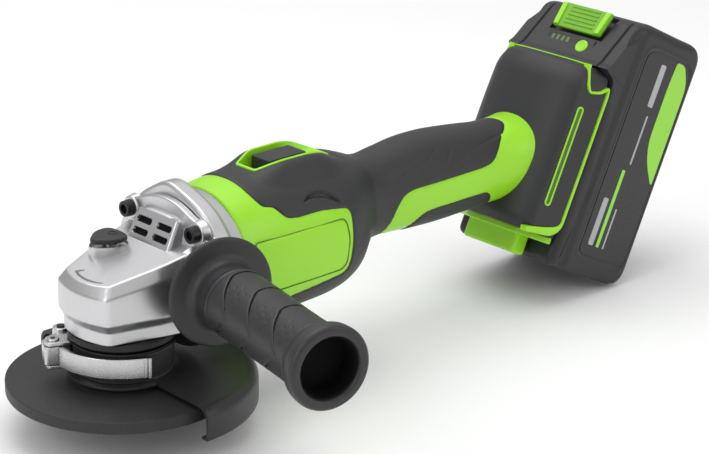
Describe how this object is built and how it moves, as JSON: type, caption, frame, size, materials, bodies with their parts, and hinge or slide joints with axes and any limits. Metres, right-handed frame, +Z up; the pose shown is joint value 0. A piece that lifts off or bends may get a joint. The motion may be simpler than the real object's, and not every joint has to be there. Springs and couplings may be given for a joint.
{
  "type": "angle grinder",
  "caption": "Cordless angle grinder with a guarded 115 mm grinding wheel, slide switch, side handle, spindle lock and slide-on tilted battery.",
  "frame": {"origin": "centre of the spindle's lower end face", "axes": "+Z up along the spindle, +X back along the motor to the battery, +Y away from the side handle"},
  "size_m": [0.4466, 0.2195, 0.1558],
  "materials": {
    "cast_aluminium": "as-cast gear case, fine shot-blast grain, edges brighter",
    "steel": "turned and ground steel",
    "black_steel": "black powder coat",
    "abrasive": "bonded abrasive, coarse dark grain",
    "green_plastic": "moulded lime green, fine spark texture",
    "dark_plastic": "moulded dark grey, fine spark texture",
    "grip_rubber": "moulded soft dark grey overmold",
    "copper": "windings and contacts",
    "circuit_board": "solder mask",
    "cell_sleeve": "shrink sleeve"
  },
  "bodies": {
    "housing": {"gear_case": "cast_aluminium", "bearing_cap": "black_steel", "spindle_bearing_lower": "steel", "spindle_bearing_upper": "steel", "case_screw_left": "black_steel", "case_screw_right": "black_steel", "motor_flange": "cast_aluminium", "housing_left": "green_plastic", "housing_right": "green_plastic", "grip_overmold": "grip_rubber", "switch_bezel": "green_plastic", "switch_module": "dark_plastic", "control_board": "circuit_board", "motor_stator": "copper", "rotor_bearing_front": "steel", "rotor_bearing_rear": "steel", "handle_collar": "green_plastic", "foot_trim": "green_plastic", "foot_bumper": "green_plastic", "terminal_block": "dark_plastic"},
    "spindle_group": {"spindle": "steel", "drive_gear": "steel", "inner_flange": "steel", "grinding_disc": "abrasive", "lock_nut": "black_steel"},
    "rotor": {"rotor_shaft": "steel", "rotor_core": "steel", "pinion": "steel", "cooling_fan": "dark_plastic"},
    "guard": {"wheel_guard": "black_steel", "guard_clamp_band": "black_steel", "clamp_pivot_pin": "steel"},
    "lever": {"clamp_lever": "steel"},
    "slider": {"switch_slider": "dark_plastic", "switch_rod": "steel"},
    "lock": {"lock_button": "dark_plastic", "lock_pin": "steel", "lock_spring": "steel"},
    "side_handle": {"side_handle_grip": "grip_rubber", "side_handle_stud": "steel"},
    "battery": {"battery_case_front": "dark_plastic", "battery_case_rear": "dark_plastic", "battery_gauge_board": "circuit_board", "battery_contacts": "copper", "latch_spring": "steel", "battery_cell_1": "cell_sleeve", "battery_cell_2": "cell_sleeve", "battery_cell_3": "cell_sleeve", "battery_cell_4": "cell_sleeve", "battery_cell_5": "cell_sleeve", "battery_cell_6": "cell_sleeve", "battery_cell_7": "cell_sleeve", "battery_cell_8": "cell_sleeve", "battery_cell_9": "cell_sleeve", "battery_cell_10": "cell_sleeve", "battery_cell_11": "cell_sleeve", "battery_cell_12": "cell_sleeve"},
    "latch": {"battery_latch": "green_plastic"},
    "gauge": {"gauge_button": "green_plastic"}
  },
  "joints": [
    {"name": "spindle_spin", "type": "hinge", "parent": "housing", "child": "spindle_group", "pos_m": [0, 0, 0.02], "axis": [0, 0, 1], "continuous": true},
    {"name": "rotor_spin", "type": "hinge", "parent": "housing", "child": "rotor", "pos_m": [0.06, 0, 0.055], "axis": [1, 0, 0], "continuous": true},
    {"name": "guard_turn", "type": "hinge", "parent": "housing", "child": "guard", "pos_m": [0, 0, 0.012], "axis": [0, 0, 1], "range_deg": [-60, 60]},
    {"name": "clamp_lever_open", "type": "hinge", "parent": "guard", "child": "lever", "pos_m": [-0.0302, 0.0153, 0.0215], "axis": [0, 0, -1], "range_deg": [0, 95]},
    {"name": "switch_slide", "type": "slide", "parent": "housing", "child": "slider", "axis": [-1, 0, 0], "range_m": [0, 0.007]},
    {"name": "lock_press", "type": "slide", "parent": "housing", "child": "lock", "axis": [0, 0, -1], "range_m": [0, 0.0024], "stiffness_N_per_m": 900, "springref_m": -0.002, "deforming": ["lock_spring"]},
    {"name": "side_handle_unscrew", "type": "slide", "parent": "housing", "child": "side_handle", "axis": [-0.2164, -0.9763, 0], "range_m": [0, 0.03]},
    {"name": "battery_slide", "type": "slide", "parent": "housing", "child": "battery", "axis": [0.4384, 0, 0.8988], "range_m": [0, 0.1]},
    {"name": "latch_press", "type": "slide", "parent": "battery", "child": "latch", "axis": [0.7314, 0, -0.682], "range_m": [0, 0.0022], "stiffness_N_per_m": 1200, "springref_m": -0.002},
    {"name": "gauge_press", "type": "slide", "parent": "battery", "child": "gauge", "axis": [0.7314, 0, -0.682], "range_m": [0, 0.0008], "stiffness_N_per_m": 1500, "springref_m": -0.001}
  ],
  "couplings": [
    {"joint": "rotor_spin", "follows": "spindle_spin", "ratio": 3}
  ]
}
